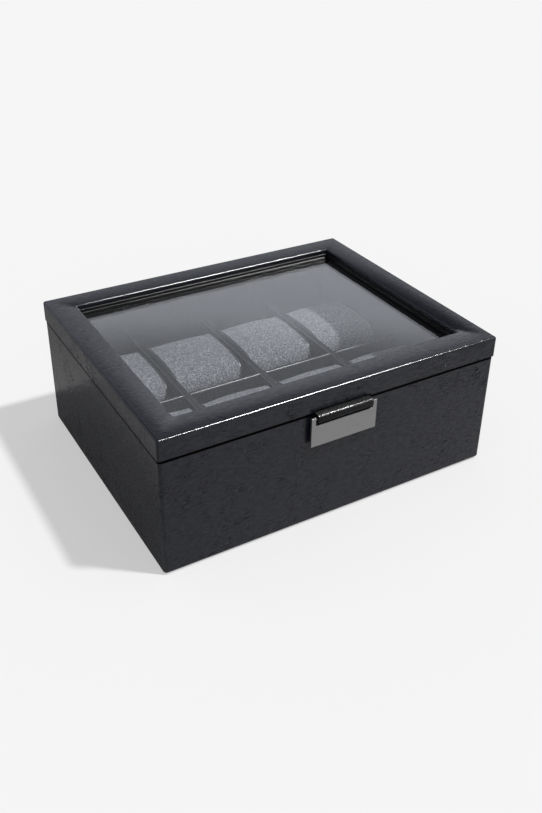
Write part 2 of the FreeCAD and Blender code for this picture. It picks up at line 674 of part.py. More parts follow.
def leaf(name, middle, way, knuckles, pockets):
    """One hinge leaf: a bar let into the rim, bevelled behind the pin so that the two leaves
    meet and stop the lid at its open angle. Way is -1 for the case's leaf and 1 for the lid's."""
    half_angle = "((Sizes.open_angle + Sizes.stop_play) / 2)"
    rise = f"tan({half_angle} * 1 deg)"
    heel = f"((Sizes.leaf_thick + Sizes.leaf_gap - Sizes.heel_face) / {rise})"
    face = f"({PIN_Z} + {way} * Sizes.leaf_gap)"
    seat = f"({PIN_Z} + {way} * (Sizes.leaf_gap + Sizes.leaf_thick))"
    heel_z = f"({PIN_Z} + {way} * (Sizes.leaf_gap + Sizes.leaf_thick - Sizes.heel_face))"
    outline = [
        (LEAF_Y, seat),
        (f"{PIN_Y} + {heel}", seat),
        (f"{PIN_Y} + {heel}", heel_z),
        (f"{PIN_Y} + Sizes.leaf_gap / {rise}", face),
        (LEAF_Y, face),
    ]
    half = "Sizes.hinge_length / 2"
    body = new_body(name + "_bar")
    profile = polygon(body, name + "_profile", "YZ_Plane", f"{middle} - {half}", outline)
    pad(body, profile, "Sizes.hinge_length")
    third = "(Sizes.hinge_length / 6)"
    room = "(Sizes.knuckle_radius + Sizes.knuckle_play)"
    spans = {"middle": (-1, 1), "left": (-3, -1), "right": (1, 3)}
    cutters = []
    for place in pockets:
        low, high = spans[place]
        x = (f"{middle} + ({low}) * {third}", f"{middle} + ({high}) * {third}")
        cutters.append(rod(f"{name}_pocket_{place}", x, PIN_Y, PIN_Z, room))
    barrels = []
    for place in knuckles:
        low, high = spans[place]
        start = f"{middle} + ({low}) * {third} + {'0' if low == -3 else 'Sizes.knuckle_play'}"
        end = f"{middle} + ({high}) * {third} - {'0' if high == 3 else 'Sizes.knuckle_play'}"
        barrels.append(rod(f"{name}_knuckle_{place}", (start, end), PIN_Y, PIN_Z, "Sizes.knuckle_radius"))
    bar = joined(name + "_solid", [cut(name + "_pocketed", body, cutters), *barrels])
    far = (f"{middle} - {half} - {BEYOND}", f"{middle} + {half} + {BEYOND}")
    holes = [rod(name + "_bore", far, PIN_Y, PIN_Z, "Sizes.pin_radius + Sizes.pin_play")]
    for mark, step in SIDES.items():
        x = f"{middle} + {step} * Sizes.screw_spread"
        holes.append(screw_seat(f"{name}_seat_{mark}", x, way))
    subpart(cut(name, bar, holes), name)


def make_hinges():
    """Two stop hinges at the back: a leaf in the case's rim, a leaf in the lid, and a pin."""
    screws = {-1: [], 1: []}
    for side, sign in SIDES.items():
        middle = f"({sign} * {HINGE_X})"
        leaf(f"hinge_base_leaf_{side}", middle, -1, ["middle"], ["left", "right"])
        leaf(f"hinge_lid_leaf_{side}", middle, 1, ["left", "right"], ["middle"])
        half = "Sizes.hinge_length / 2"
        x = (f"{middle} - {half}", f"{middle} + {half}")
        subpart(rod(f"hinge_pin_{side}", x, PIN_Y, PIN_Z, "Sizes.pin_radius"), f"hinge_pin_{side}")
        for way, made in screws.items():
            for mark, step in SIDES.items():
                x = f"{middle} + {step} * Sizes.screw_spread"
                made.append(screw(f"screw_{side}_{mark}_{'up' if way > 0 else 'down'}", x, way))
    subpart(group("hinge_base_screws", screws[-1]), "hinge_base_screws")
    subpart(group("hinge_lid_screws", screws[1]), "hinge_lid_screws")


def make_tab():
    """A leather loop from under the lid's front edge, and the slotted metal plate that hangs in it."""
    outer = "(Sizes.loop_radius + Sizes.strap_thick)"
    upper = f"({STRAP_TOP_Z} - {outer})"
    lower = f"({BAR_Z} - Sizes.loop_slack)"
    across = both(STRAP_X)

    def track(name, radius):
        return [
            rod(f"{name}_upper", across, LOOP_Y, upper, radius),
            rod(f"{name}_lower", across, LOOP_Y, lower, radius),
            block(f"{name}_middle", across, (f"{LOOP_Y} - {radius}", f"{LOOP_Y} + {radius}"), (lower, upper)),
        ]

    tail_y = (LOOP_Y, f"-{LINING_Y} - Sizes.end_play")
    tail = block("strap_tail", across, tail_y, (f"{STRAP_TOP_Z} - Sizes.strap_thick", STRAP_TOP_Z))
    solid = joined("strap_solid", [*track("strap_out", outer), tail])
    eye = joined("strap_eye", track("strap_in", "Sizes.loop_radius"))
    subpart(cut("pull_strap", solid, [eye]), "pull_strap")

    top = f"({BAR_Z} + Sizes.tab_bar / 2)"
    plate = new_body("tab_plate")
    back = f"(-({LOOP_Y}) - Sizes.tab_thick / 2)"
    face = rectangle(both("Sizes.tab_width / 2"), (f"{top} - Sizes.tab_height", top))
    pad(plate, polygon(plate, "tab_outline", "XZ_Plane", back, face), "Sizes.tab_thick")
    slot_x = both("(Sizes.tab_width / 2 - Sizes.tab_arm)")
    slot_top = f"({top} - Sizes.tab_bar)"
    opening = rectangle(slot_x, (f"{slot_top} - Sizes.tab_slot", slot_top))
    pocket = plate.newObject("PartDesign::Pocket", "tab_slot_cut")
    pocket.Profile = polygon(plate, "tab_slot_outline", "XZ_Plane", back, opening)
    pocket.setExpression("Length", "Sizes.tab_thick")
    pocket.Reversed = True
    plate.Tip = pocket
    doc.recompute()
    round_edges(plate, lambda edge: True, "Sizes.tab_round", "tab_edges")
    subpart(plate, "tab_plate")


def check_and_write():
    """Stops on a failed object or a bad solid, then writes one file for each piece."""
    doc.recompute()
    for item in doc.Objects:
        bad = [state for state in item.State if state in ("Invalid", "Error")]
        if bad:
            raise RuntimeError(f"{item.Label} failed: {bad}")
    for piece in subparts:
        shape = piece.Shape
        if shape.isNull() or not shape.isValid() or not shape.Solids:
            raise RuntimeError(f"{piece.Label} has no valid solid")
    os.makedirs("parts", exist_ok=True)
    for piece in subparts:
        piece.Shape.exportStep(os.path.join("parts", f"{piece.Label}.step"))
    print(f"{len(subparts)} pieces written")


make_case()
make_linings()
make_dividers()
make_cushions()
make_lid()
make_hinges()
make_tab()
check_and_write()
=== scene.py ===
"""Watch box: the looks of a wrapped case with a glazed lid, lift-out cushions and a pull tab."""

import math

import bmesh
import bpy
from bpy.props import FloatProperty, FloatVectorProperty, PointerProperty
from bpy.types import Operator, Panel, PropertyGroup
from mathutils import Matrix, Vector


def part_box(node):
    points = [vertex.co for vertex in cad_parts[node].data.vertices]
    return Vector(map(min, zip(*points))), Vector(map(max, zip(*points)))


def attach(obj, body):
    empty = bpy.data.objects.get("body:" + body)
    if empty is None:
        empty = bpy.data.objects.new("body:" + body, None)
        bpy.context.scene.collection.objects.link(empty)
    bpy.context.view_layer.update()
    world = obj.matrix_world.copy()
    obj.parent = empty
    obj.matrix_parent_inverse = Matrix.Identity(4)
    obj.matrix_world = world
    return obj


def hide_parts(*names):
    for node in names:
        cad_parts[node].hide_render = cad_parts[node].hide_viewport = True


bl_info = {
    "name": "Watch Box",
    "version": (1, 0, 0),
    "blender": (4, 5, 0),
    "location": "View3D > Sidebar > Watch Box",
    "description": "Finishes a wrapped watch box with a glazed lid, cushions and a pull tab",
    "category": "Object",
}

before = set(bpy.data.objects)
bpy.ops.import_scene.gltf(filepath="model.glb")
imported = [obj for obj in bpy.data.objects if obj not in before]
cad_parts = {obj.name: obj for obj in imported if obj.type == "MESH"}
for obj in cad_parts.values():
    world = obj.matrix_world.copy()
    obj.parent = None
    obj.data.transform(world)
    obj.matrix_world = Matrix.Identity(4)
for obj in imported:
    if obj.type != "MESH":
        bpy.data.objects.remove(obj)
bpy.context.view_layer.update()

MM = 0.001
MERGE = 0.01 * MM
PHOTO_LONG_SIDE = 813
SENSOR = 36.0
FLOOR_SIZE = 14.0
FLOOR_DROP = 0.1 * MM
CAMERA_NEAR = 10 * MM
CLOTH_FRAMES = 20
BEND_STEPS = 10
ROUND_STEPS = 3
SHARP = math.radians(50)
ROWS = ("front", "rear")
SIDES = ("left", "right")
WALLS = ("front", "rear", "left", "right")
COLUMNS = (1, 2, 3, 4)
CUSHIONS = [f"{row}_{column}" for row in ROWS for column in COLUMNS]
BOARDS = [f"{wall}_panel" for wall in WALLS] + ["bottom_panel"]
RAILS = [f"lid_{wall}_rail" for wall in WALLS]
WALL_CARDS = [f"{wall}_lining" for wall in WALLS]
DIVIDERS = ["row_divider"] + [f"cross_divider_{count}" for count in (1, 2, 3)]
LEAVES = [f"hinge_{part}_leaf_{side}" for part in ("base", "lid") for side in SIDES]
PINS = [f"hinge_pin_{side}" for side in SIDES]
EDGE_LIT = "edge_lit"
EDGE_LIT_NODES = ["lid_wrap", "glazing_beads", "row_divider"] + [f"cushion_ends_{name}" for name in CUSHIONS]


def length(name, description, millimetres):
    """A size in the sidebar, written here in millimetres."""
    return FloatProperty(name=name, description=description, default=millimetres * MM,
                         min=0, precision=4, subtype="DISTANCE", unit="LENGTH")


def colour(name, description, *rgb):
    """A linear colour in the sidebar."""
    return FloatVectorProperty(name=name, description=description, default=rgb,
                               min=0, max=1, size=3, subtype="COLOR")


def angle(name, description, degrees):
    """An angle in the sidebar, written here in degrees."""
    return FloatProperty(name=name, description=description, default=math.radians(degrees),
                         subtype="ANGLE", unit="ROTATION")


def number(name, description, value, least=0, most=1e6):
    """A plain number in the sidebar."""
    return FloatProperty(name=name, description=description, default=value, min=least, max=most)


def point(name, description, *millimetres):
    """A point in the sidebar, written here in millimetres."""
    metres = [MM * part for part in millimetres]
    return FloatVectorProperty(name=name, description=description, default=metres,
                               size=3, subtype="TRANSLATION", unit="LENGTH")


def direction(name, description, *towards):
    """A direction in the sidebar."""
    return FloatVectorProperty(name=name, description=description, default=towards,
                               size=3, subtype="DIRECTION")


class WatchBoxSizes(PropertyGroup):
    """Sizes of the soft pieces and of the grain."""
    pad_voxel: length("Pad mesh", "Edge of the mesh that a cushion pad is puffed from", 2.6)
    pad_slack: length("Pad slack", "How much smaller a pad starts before it is puffed", 0.5)
    pad_swell: length("Pad swell", "The furthest that a pad's cloth may puff out", 1.4)
    pad_tuck: length("Pad tuck", "Width at a pad's ends and base that stays held", 2.2)
    pad_waver: length("Pad waver", "Height of the gentle unevenness from pad to pad", 0.7)
    waver_size: length("Waver size", "Distance over which the pads' unevenness changes", 24.0)
    pad_shoulder: length("Pad shoulder", "How much fuller the front pads' rear shoulders are", 2.6)
    bead_lip: length("Bead lip", "Height of the rolled lip at the glazing bead's foot", 0.9)
    strap_thick: length("Strap thickness", "Thickness of the strap's leather", 1.0)
    strap_bend: length("Strap bend", "Radius of the bend where the strap leaves the lid", 1.1)
    strap_edge: length("Strap edge", "Rounding of the strap's cut edges", 0.25)
    recess: length("Recess width", "Width of each bar of a screw's cross recess", 0.45)
    recess_long: length("Recess length", "Length of each bar of a screw's cross recess", 1.9)
    recess_deep: length("Recess depth", "Depth of a screw's cross recess", 0.6)
    felt_edge: length("Felt edge", "Rounding of the felt sheet under the case", 0.4)
    crease: length("Crease spacing", "Distance between the leatherette's short strokes", 2.8)
    crease_depth: length("Crease depth", "Depth of the leatherette's strokes, wrinkles and folds", 0.18)
    wrinkle: length("Wrinkle spacing", "Size of the soft hills that the wrinkles curl round", 15.96)
    wrinkle_patch: length("Wrinkle patch", "Size of the patches with stronger or fainter wrinkles", 34.0)
    fold: length("Fold spacing", "Distance between the leatherette's long folds", 30.0)
    grit: length("Grit", "Size of the leatherette's finest grain", 2.4)
    pillow: length("Pillow", "Stretch over which the lid's skin sinks towards the window", 15.0)
    pillow_drop: length("Pillow drop", "How far the lid's skin sinks at the window", 1.3)
    fleck: length("Cloth fleck", "Size of the light and dark flecks in the cushion cloth", 1.15)


class WatchBoxColours(PropertyGroup):
    """Colours of the finishes, linear."""
    leather: colour("Leatherette", "Black leatherette of the case and the lid", 0.0056, 0.0064, 0.0116)
    strap: colour("Strap leather", "Black leather of the pull strap", 0.0050, 0.0052, 0.0058)
    suede: colour("Suede card", "Charcoal lining cards", 0.0300, 0.0305, 0.0335)
    wrap: colour("Divider wrap", "Smooth charcoal wrap of the dividers", 0.0130, 0.0130, 0.0140)
    cloth: colour("Cushion cloth", "Main grey of the heathered cloth", 0.2420, 0.2460, 0.2640)
    cloth_dark: colour("Dark fleck", "Dark threads in the cloth", 0.0850, 0.0890, 0.1050)
    cloth_pale: colour("Pale fleck", "Pale threads in the cloth", 0.4600, 0.4700, 0.5000)
    cap: colour("Cushion end", "Dark end panels of the cushions", 0.0180, 0.0180, 0.0190)
    # The pale edge colour is a painted highlight on the rounded edges of dividers and cushion ends.
    rubbed_shine_and_painted_highlight: colour("Rubbed edge", "Pale rubbed edges of dividers and cushion ends", 0.1100, 0.1100, 0.1150)
    bead: colour("Bead", "Black glazing bead", 0.0050, 0.0050, 0.0055)
    glass: colour("Glass", "Tint of the window", 0.9750, 0.9800, 0.9850)
    board: colour("Board", "Black-dyed fibreboard under the wrap", 0.0080, 0.0080, 0.0085)
    felt: colour("Felt", "Black felt under the case", 0.0120, 0.0120, 0.0125)
    gunmetal: colour("Gunmetal", "Satin metal of the tab", 0.2550, 0.2540, 0.2550)
    nickel: colour("Black nickel", "Metal of the hinges and screws", 0.1500, 0.1500, 0.1550)


class WatchBoxStage(PropertyGroup):
    """The camera, the floor and the studio light."""
    azimuth: angle("Camera azimuth", "Turn of the camera from the front, to the right", -30.594)
    elevation: angle("Camera elevation", "Height of the camera above the horizon", 29.396)
    roll: angle("Camera roll", "Turn of the camera about its line of sight", 0.772)
    target: point("Camera target", "Point that the camera looks at", 7.09, 0.0, 72.67)
    distance: length("Camera distance", "From the camera to its target", 648.68)
    focal_pixels: number("Focal length", "Focal length in image pixels", 904.48, least=1)
    rise_pixels: number("Lens rise", "Centre of view above the image's middle", 56.5, least=-PHOTO_LONG_SIDE)
    floor: colour("Floor", "Pale floor and background", 0.913, 0.913, 0.913)
    floor_glow: number("Floor glow", "Share of the floor's brightness that shadows leave", 0.5, most=1)
    sky: number("Sky", "Even light from all round", 0.35)
    key: number("Key", "Strength of the key light", 2.42)
    key_angle: angle("Key size", "Angle that the key light fills", 4.0)
    key_from: direction("Key direction", "Direction towards the key light", 0.405, -0.312, 0.858)
    pool: point("Light pool", "Middle of the light that gloss mirrors on the floor", 80.0, -100.0, 0.0)
    pool_near: length("Pool inside", "Distance up to which the pool of light is full", 100.0)
    pool_far: length("Pool outside", "Distance from which the pool of light is faint", 450.0)
    pool_faint: number("Pool edge", "Share of the floor's brightness outside the pool", 0.4, most=1)
    strip: number("Highlight", "Power of the strip lamp that only gloss mirrors", 66.0)
    strip_from: direction("Highlight direction", "Direction towards the strip lamp", 0.40, -0.335, 0.853)
    strip_distance: length("Highlight distance", "From the box to the strip lamp", 1200.0)
    strip_width: length("Highlight width", "Length of the strip lamp along the box", 640.0)
    strip_height: length("Highlight height", "Height of the strip lamp", 80.0)
    wall: colour("Studio wall", "Wall that gloss and glass mirror", 0.88, 0.92, 1.0)
    wall_level: number("Wall level", "Brightness of the studio wall", 1.2)
    wall_low: angle("Bright wall", "Height up to which the studio wall is bright", 26.7)
    wall_high: angle("Grey wall", "Height from which the studio wall is grey", 29.8)
    upper: number("Upper wall", "Share of brightness that the grey wall has", 0.46)
    upper_high: angle("Wall top", "Height at which the grey wall starts to darken", 33.0)
    ceiling_low: angle("Ceiling height", "Height from which the studio is dark", 41.0)
    ceiling: number("Ceiling", "Share of the grey wall's brightness left in the ceiling", 0.12)


def opaque(value):
    """A colour with its alpha, or a socket as it is."""
    return value if isinstance(value, bpy.types.NodeSocket) else (*value[:3], 1.0)


def toned(tint, times):
    """A colour made darker or paler by a factor."""
    return [times * part for part in tint]


class Nodes:
    """A node tree and short calls that add nodes to it."""

    def __init__(self, tree):
        self.tree = tree

    def put(self, socket, value):
        """Links another node's output to a socket, or sets a plain value on it."""
        if isinstance(value, bpy.types.NodeSocket):
            self.tree.links.new(value, socket)
        else:
            socket.default_value = value

    def add(self, kind, inputs, output=0, **settings):
        """Adds a node with its settings and inputs, and gives one of its outputs."""
        node = self.tree.nodes.new(kind)
        for key, value in settings.items():
            setattr(node, key, value)
        for key, value in inputs.items():
            self.put(node.inputs[key], value)
        return None if output is None else node.outputs[output]

    def millimetres(self, stretch=(1, 1, 1)):
        """The piece's own coordinates in millimetres, stretched for a pattern."""
        place = self.add("ShaderNodeTexCoord", {}, "Object")
        scale = [1 / (MM * part) for part in stretch]
        return self.add("ShaderNodeMapping", {"Vector": place, "Scale": scale})

    def facing(self):
        """The direction that the surface faces, in the piece's own frame."""
        return self.add("ShaderNodeTexCoord", {}, "Normal")

    def axis(self, vector, name):
        """One coordinate of a vector."""
        return self.add("ShaderNodeSeparateXYZ", {0: vector}, name)

    def noise(self, where, size, detail=2.0, rough=0.5, output="Fac"):
        """Soft random blotches of a size in millimetres."""
        inputs = {"Vector": where, "Scale": 1 / size, "Detail": detail, "Roughness": rough}
        return self.add("ShaderNodeTexNoise", inputs, output)

    def cells(self, where, size, feature):
        """Distances in a pattern of cells of a size in millimetres."""
        inputs = {"Vector": where, "Scale": 1 / size}
        return self.add("ShaderNodeTexVoronoi", inputs, "Distance", feature=feature)

    def drifted(self, where, size, reach):
        """Coordinates that wander by up to a reach, in swirls of a size."""
        wander = self.noise(where, size=size, output="Color")
        centred = self.add("ShaderNodeVectorMath", {0: wander, 1: (0.5, 0.5, 0.5)}, operation="SUBTRACT")
        inputs = {0: centred, 1: (2 * reach,) * 3, 2: where}
        return self.add("ShaderNodeVectorMath", inputs, operation="MULTIPLY_ADD")

    def math(self, operation, *values):
        """One step of arithmetic."""
        return self.add("ShaderNodeMath", dict(enumerate(values)), operation=operation)

    def product(self, value, *others):
        """Values multiplied together."""
        for other in others:
            value = self.math("MULTIPLY", value, other)
        return value

    def ramp(self, value, low, high, start=0.0, end=1.0):
        """A smooth step of a value, from start at low to end at high."""
        inputs = {"Value": value, "From Min": low, "From Max": high, "To Min": start, "To Max": end}
        return self.add("ShaderNodeMapRange", inputs, interpolation_type="SMOOTHSTEP")

    def mix(self, factor, first, second):
        """A blend of two colours."""
        inputs = {0: factor, 6: opaque(first), 7: opaque(second)}
        return self.add("ShaderNodeMix", inputs, 2, data_type="RGBA")


class Finish(Nodes):
    """A material in the making, with its surface shader."""

    def __init__(self, name):
        self.material = bpy.data.materials.new(name)
        self.material.use_nodes = True
        super().__init__(self.material.node_tree)
        self.surface = self.tree.nodes["Principled BSDF"]

    def shade(self, **values):
        """Sets the surface shader's sockets, named with underscores for spaces."""
        for key, value in values.items():
            self.put(self.surface.inputs[key.replace("_", " ")], value)

    def show(self, shader):
        """Puts a shader on the surface in place of the surface shader alone."""
        self.put(self.tree.nodes["Material Output"].inputs["Surface"], shader)

    def bump(self, height, depth, strength=1.0, under=None):
        """Relief of a depth in millimetres from a height of 0 to 1, on top of another relief if any."""
        inputs = {"Height": height, "Distance": depth * MM, "Strength": strength}
        if under is not None:
            inputs["Normal"] = under
        normal = self.add("ShaderNodeBump", inputs)
        self.shade(Normal=normal)
        return normal


def leatherette(name, tint, sizes, gloss, seam_height, window=None):
    """Embossed leather under a thin clear coat: wrinkles and a few long folds, most on the upright sides,
    and a grit that breaks up the highlights. In the creases the colour is darker and the coat thinner, as
    painted shade. Close to the height where lid and case meet the colour is painted black and the coat left
    off, as painted shade of the gap between them. Round a window the skin sinks softly towards the opening."""
    finish = Finish(name)
    place = finish.millimetres()
    apart = finish.math("ABSOLUTE", finish.math("SUBTRACT", finish.axis(place, "Z"), seam_height / MM))
    # Painted shade of the gap between lid and case: black colour and no coat close to their meeting height.
    clear_of_painted_gap_shade = finish.ramp(apart, 0.8, 1.6)
    upward = finish.math("ABSOLUTE", finish.axis(finish.facing(), "Z"))
    upright = finish.ramp(upward, 0.15, 0.6, start=1.0, end=0.25)
    creased = finish.math("MAXIMUM", wrinkles(finish, place, sizes), long_folds(finish, place, sizes))
    creases_with_painted_shade = finish.product(creased, upright)
    grit = finish.noise(place, size=sizes.grit / MM, detail=3.0, rough=0.7)
    fine = finish.noise(finish.millimetres((4.0, 1.0, 1.0)), size=1.3, rough=0.6)
    relief = finish.math("MULTIPLY_ADD", creases_with_painted_shade, -1.0, finish.product(grit, 0.5))
    # The darker crease colour and the thinner coat in the creases are painted shade.
    dark = toned(tint, 0.7)
    lift = finish.math("ADD", finish.ramp(grit, 0.3, 0.7, start=0.4, end=0.6),
                       finish.ramp(fine, 0.3, 0.7, start=0.3, end=0.75))
    shine = finish.math("MULTIPLY_ADD", creases_with_painted_shade, -0.5, lift)
    finish.shade(
        Base_Color=finish.mix(clear_of_painted_gap_shade, (0, 0, 0), finish.mix(creases_with_painted_shade, tint, dark)),
        Roughness=finish.ramp(grit, 0.3, 0.7, start=0.40, end=0.55),
        Specular_IOR_Level=0.04,
        Coat_Weight=finish.product(shine, gloss, clear_of_painted_gap_shade),
        Coat_Roughness=0.16,
    )
    soft = sunk_towards(finish, place, window) if window else None
    finish.shade(Coat_Normal=finish.bump(relief, depth=sizes.crease_depth / MM, under=soft))
    return finish.material


def wrinkles(finish, place, sizes):
    """Wrinkles that curl round soft hills in the skin, and short strokes between them, stronger in some
    patches than in others."""
    hills = finish.noise(finish.drifted(place, size=20.0, reach=6.0), size=sizes.wrinkle / MM, rough=0.4)
    contour = finish.math("PINGPONG", finish.product(hills, 7.0), 0.5)
    whorl = finish.ramp(contour, 0.0, 0.11, start=0.9, end=0.0)
    stretched = finish.drifted(finish.millimetres((2.2, 2.2, 1.0)), size=7.0, reach=2.4)
    borders = finish.cells(stretched, size=sizes.crease / MM, feature="DISTANCE_TO_EDGE")
    strokes = finish.ramp(borders, 0.0, 0.15, start=1.0, end=0.0)
    lines = finish.math("MAXIMUM", whorl, finish.product(strokes, 0.35))
    broken = finish.ramp(finish.noise(place, size=12.0), 0.40, 0.58, start=0.15, end=1.0)
    patch = finish.ramp(finish.noise(place, size=sizes.wrinkle_patch / MM), 0.36, 0.62, start=0.35, end=1.4)
    return finish.product(lines, broken, patch)


def long_folds(finish, place, sizes):
    """A few long folds, here and there."""
    winding = finish.drifted(place, size=14.0, reach=7.0)
    edge = finish.cells(winding, size=sizes.fold / MM, feature="DISTANCE_TO_EDGE")
    kept = finish.ramp(finish.noise(place, size=17.0, detail=1.0), 0.52, 0.64, start=0.0, end=0.45)
    return finish.product(finish.ramp(edge, 0.0, 0.04, start=1.0, end=0.0), kept)


def sunk_towards(finish, place, window):
    """The relief of a skin that sinks over the last stretch before a window of given half sizes, most at
    the sides and least at the back."""
    half_x, half_y, stretch, drop = (size / MM for size in window)
    outward = finish.add("ShaderNodeVectorMath", {0: place}, operation="ABSOLUTE")
    beyond_x = finish.math("SUBTRACT", finish.axis(outward, "X"), half_x)
    beyond_y = finish.math("SUBTRACT", finish.axis(outward, "Y"), half_y)
    away = finish.math("SMOOTH_MAX", beyond_x, beyond_y, 8.0)
    left = finish.math("MAXIMUM", finish.math("MULTIPLY_ADD", away, -1 / stretch, 1.0), 0.0)
    flatter = finish.ramp(finish.axis(place, "Y"), -half_y, half_y, start=1.2, end=0.45)
    steeper = finish.ramp(finish.math("SUBTRACT", beyond_x, beyond_y), -6.0, 6.0, start=1.0, end=2.0)
    sunk = finish.product(left, left, flatter, steeper)
    return finish.bump(finish.math("SUBTRACT", 1.0, sunk), depth=drop)


def pebbled_leather(name, tint):
    """Tight leather with raised dots that catch the light, rubbed to a shine where it faces up."""
    finish = Finish(name)
    place = finish.millimetres()
    rubbed_shine_and_painted_highlight = finish.ramp(finish.axis(finish.facing(), "Z"), 0.1, 0.5, start=0.03, end=1.0)
    pebble = finish.noise(place, size=1.5, rough=0.7)
    dots = finish.ramp(pebble, 0.44, 0.58, start=0.05, end=0.65)
    pale = toned(tint, 2.5)
    finish.shade(
        Base_Color=finish.mix(dots, tint, pale),
        Roughness=finish.ramp(pebble, 0.3, 0.7, start=0.6, end=0.45),
        Specular_IOR_Level=0.08,
        Coat_Weight=finish.product(dots, rubbed_shine_and_painted_highlight),
        Coat_Roughness=0.3,
    )
    finish.bump(pebble, depth=0.2)
    return finish.material


def suede(name, tint):
    """Short-napped card cover: soft blotches where the nap lies over."""
    finish = Finish(name)
    place = finish.millimetres()
    nap = finish.noise(place, size=0.5, detail=4.0, rough=0.65)
    lie = finish.noise(place, size=14.0, detail=3.0)
    pale = toned(tint, 1.35)
    finish.shade(
        Base_Color=finish.mix(finish.ramp(lie, 0.35, 0.68), tint, pale),
        Roughness=finish.ramp(nap, 0.3, 0.7, start=0.82, end=0.95),
        Specular_IOR_Level=0.05,
        Sheen_Weight=0.12,
        Sheen_Roughness=0.5,
    )
    finish.bump(nap, depth=0.08, strength=0.6)
    return finish.material


def divider_wrap(name, tint, edge, across, coat, softness):
    """Smooth paper-backed wrap with a faint emboss and a low gloss, painted pale as a highlight where it
    goes round the edges between faces across an axis and the rest."""
    finish = Finish(name)
    place = finish.millimetres()
    turned = finish.math("ABSOLUTE", finish.axis(finish.facing(), across))
    # The pale colour round the edges is a painted highlight.
    rubbed_shine_and_painted_highlight = finish.product(finish.ramp(turned, 0.2, 0.4),
                            finish.ramp(turned, 0.8, 0.95, start=1.0, end=0.0))
    emboss = finish.cells(finish.drifted(place, size=3.0, reach=0.4), size=0.55, feature="SMOOTH_F1")
    rub = finish.noise(place, size=9.0, detail=3.0, rough=0.6)
    pale = toned(tint, 1.3)
    worn = finish.mix(finish.ramp(rub, 0.4, 0.7), tint, pale)
    finish.shade(
        Base_Color=finish.mix(rubbed_shine_and_painted_highlight, worn, edge),
        Roughness=finish.ramp(rub, 0.3, 0.7, start=0.38, end=0.48),
        Specular_IOR_Level=0.05,
        Coat_Weight=coat,
        Coat_Roughness=softness,
    )
    finish.bump(emboss, depth=0.005, strength=0.5)
    return finish.material


def heathered_cloth(name, tones, fleck):
    """Felted cloth spun from grey, dark and pale threads."""
    finish = Finish(name)
    place = finish.millimetres()
    fuzz = finish.drifted(place, size=1.6, reach=0.5)
    light = finish.noise(fuzz, size=fleck / MM, rough=0.6)
    shadow = finish.noise(finish.drifted(place, size=2.3, reach=0.6), size=0.85 * fleck / MM, rough=0.6)
    cloudy = finish.noise(place, size=7.0)
    fibre = finish.noise(place, size=0.22, detail=3.0, rough=0.7)
    main, dark, pale = tones
    blend = finish.mix(finish.ramp(shadow, 0.45, 0.58), main, dark)
    blend = finish.mix(finish.ramp(light, 0.50, 0.63), blend, pale)
    dim = toned(main, 0.9)
    blend = finish.mix(finish.ramp(cloudy, 0.3, 0.75, start=0.0, end=0.3), blend, dim)
    finish.shade(
        Base_Color=blend,
        Roughness=finish.ramp(fibre, 0.3, 0.7, start=0.86, end=0.98),
        Specular_IOR_Level=0.05,
        Sheen_Weight=0.18,
        Sheen_Roughness=0.45,
    )
    nap = finish.math("MULTIPLY_ADD", fibre, 0.5, light)
    finish.bump(nap, depth=0.16, strength=0.7)
    return finish.material


def window_glass(name, tint):
    """Clear float glass. Lamps and soft light pass straight through to what is inside."""
    finish = Finish(name)
    place = finish.millimetres()
    wipe = finish.noise(finish.drifted(place, size=40.0, reach=12.0), size=30.0, detail=3.0, rough=0.6)
    finish.shade(
        Base_Color=finish.mix(finish.ramp(wipe, 0.5, 0.8), tint, toned(tint, 0.97)),
        Roughness=0.0,
        IOR=1.52,
        Transmission_Weight=1.0,
    )
    path = finish.tree.nodes.new("ShaderNodeLightPath")
    passing = finish.math("MAXIMUM", path.outputs["Is Shadow Ray"], path.outputs["Is Diffuse Ray"])
    clear = finish.add("ShaderNodeBsdfTransparent", {"Color": (0.9, 0.905, 0.91, 1.0)})
    both = {0: passing, 1: finish.surface.outputs[0], 2: clear}
    finish.show(finish.add("ShaderNodeMixShader", both))
    return finish.material


def satin_bead(name, tint, foot, lip):
    """Black extruded strip with faint draw lines and a rolled lip along the glass at its foot."""
    finish = Finish(name)
    lines = finish.noise(finish.millimetres((40.0, 40.0, 1.0)), size=0.35)
    height = finish.axis(finish.millimetres(), "Z")
    up = finish.math("DIVIDE", finish.math("SUBTRACT", height, foot / MM), lip / MM)
    left = finish.math("MAXIMUM", finish.math("SUBTRACT", 1.0, up), 0.0)
    rolled = finish.bump(finish.product(left, left), depth=lip / MM)
    finish.shade(
        Base_Color=opaque(tint),
        Roughness=finish.ramp(lines, 0.3, 0.7, start=0.26, end=0.36),
        Specular_IOR_Level=0.12,
    )
    finish.bump(lines, depth=0.03, strength=0.4, under=rolled)
    return finish.material


def fibreboard(name, tint):
    """Pressed dark fibreboard."""
    finish = Finish(name)
    place = finish.millimetres()
    fibre = finish.noise(finish.drifted(place, size=3.0, reach=1.2), size=0.7, detail=4.0, rough=0.65)
    pale = toned(tint, 1.7)
    finish.shade(
        Base_Color=finish.mix(finish.ramp(fibre, 0.35, 0.7), tint, pale),
        Roughness=finish.ramp(fibre, 0.3, 0.7, start=0.75, end=0.9),
        Specular_IOR_Level=0.05,
    )
    finish.bump(fibre, depth=0.08, strength=0.5)
    return finish.material


def black_felt(name, tint):
    """Pressed felt with loose fibres."""
    finish = Finish(name)
    place = finish.millimetres()
    fibre = finish.noise(finish.drifted(place, size=1.2, reach=0.8), size=0.4, detail=4.0, rough=0.7)
    pale = toned(tint, 2.2)
    finish.shade(
        Base_Color=finish.mix(finish.ramp(fibre, 0.5, 0.75), tint, pale),
        Roughness=finish.ramp(fibre, 0.3, 0.7, start=0.9, end=1.0),
        Specular_IOR_Level=0.1,
        Sheen_Weight=0.2,
        Sheen_Roughness=0.6,
    )
    finish.bump(fibre, depth=0.2, strength=0.8)
    return finish.material


